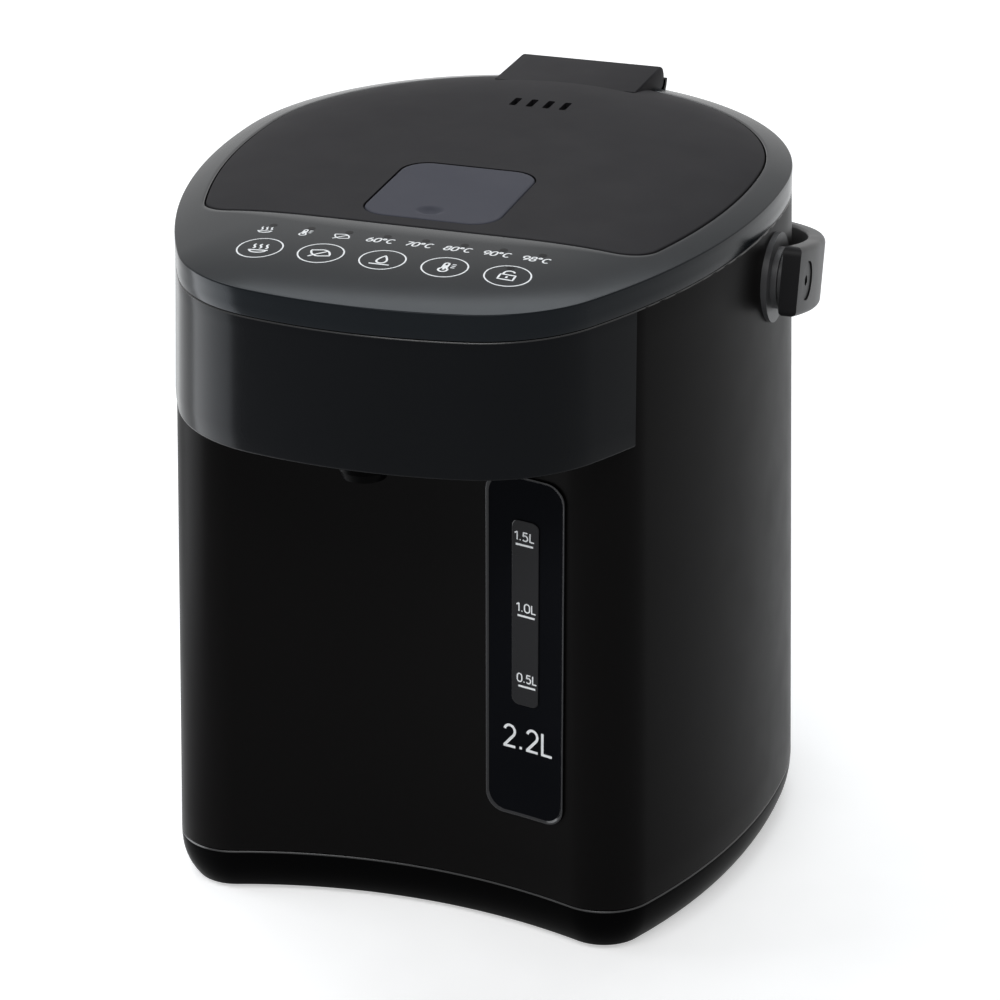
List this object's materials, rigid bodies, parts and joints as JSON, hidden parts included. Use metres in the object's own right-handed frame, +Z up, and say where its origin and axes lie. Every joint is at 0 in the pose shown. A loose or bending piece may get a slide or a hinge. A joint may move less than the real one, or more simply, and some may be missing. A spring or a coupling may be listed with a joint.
{
  "type": "electric thermo pot",
  "caption": "Electric hot water dispenser pot with a vacuum vessel, hinged lid with release plate, pump, spout, water gauge and a swinging carry handle.",
  "frame": {"origin": "on the table, 1.5 mm under the middle of the base's flat underside, on the left-right middle plane, in line with the body's widest point", "axes": "+Z up, -Y towards the spout and the user, +X to the right seen from the front"},
  "size_m": [0.2316, 0.2879, 0.2585],
  "materials": {
    "body_black": "fine matte grain",
    "base_black": "semi gloss",
    "band_black": "gloss",
    "cover_black": "gloss",
    "lid_charcoal": "matte",
    "plate_grey": "satin",
    "handle_black": "matte",
    "inner_plastic": "matte",
    "natural_plastic": "natural",
    "stainless": "brushed",
    "plated_steel": "zinc plated",
    "clear": "clear",
    "silicone": "translucent",
    "foot_rubber": "matte",
    "board_green": "solder mask",
    "contact_brass": "plated",
    "motor_steel": "satin"
  },
  "bodies": {
    "pot": {"foot_pads": "foot_rubber", "base_shell": "base_black", "base_screws": "plated_steel", "outer_body": "body_black", "head_band": "band_black", "top_cover": "cover_black", "touch_board": "board_green", "inner_vessel": "stainless", "vacuum_jacket": "stainless", "vessel_ring": "silicone", "heater_plate": "stainless", "thermistor": "plated_steel", "thermal_fuse": "natural_plastic", "pump_housing": "natural_plastic", "pump_motor": "motor_steel", "suction_sleeve": "silicone", "riser_hose": "silicone", "level_tube": "clear", "spout_pipe": "inner_plastic", "nozzle": "base_black", "gauge_panel": "band_black", "gauge_window": "clear", "hinge_bracket": "base_black", "hinge_pin": "plated_steel", "handle_pivot_right": "inner_plastic", "handle_pivot_left": "inner_plastic", "main_board": "board_green", "power_inlet": "base_black", "inlet_pins": "contact_brass", "inlet_magnets": "plated_steel"},
    "lid": {"lid_outer": "lid_charcoal", "lid_inner": "inner_plastic", "inner_cap": "stainless", "lid_gasket": "silicone", "steam_duct": "inner_plastic", "release_pin": "plated_steel", "latch_springs": "plated_steel"},
    "release_plate": {"release_plate": "plate_grey"},
    "latch_bolt": {"latch_bolt": "natural_plastic"},
    "handle": {"carry_handle": "handle_black", "handle_screws": "handle_black"},
    "pump_rotor": {"pump_impeller": "natural_plastic", "motor_shaft": "plated_steel"}
  },
  "joints": [
    {"name": "lid_hinge", "type": "hinge", "parent": "pot", "child": "lid", "pos_m": [0, 0.1125, 0.252], "axis": [-1, 0, 0], "range_deg": [0, 78]},
    {"name": "release_press", "type": "hinge", "parent": "lid", "child": "release_plate", "pos_m": [0, -0.026, 0.2518], "axis": [1, 0, 0], "range_deg": [0, 4.5], "stiffness_Nm_per_rad": 0.6, "springref_deg": -1.72},
    {"name": "latch_slide", "type": "slide", "parent": "lid", "child": "latch_bolt", "axis": [0, 1, 0], "range_m": [0, 0.0034], "deforming": ["latch_springs"]},
    {"name": "handle_swing", "type": "hinge", "parent": "pot", "child": "handle", "pos_m": [0, -0.003, 0.221], "axis": [1, 0, 0], "range_deg": [0, 105]},
    {"name": "pump_spin", "type": "hinge", "parent": "pot", "child": "pump_rotor", "pos_m": [0.0332, -0.03, 0.05], "axis": [0, 0, 1], "continuous": true}
  ],
  "couplings": [
    {"joint": "latch_slide", "follows": "release_press", "m_per_rad": 0.0423}
  ]
}
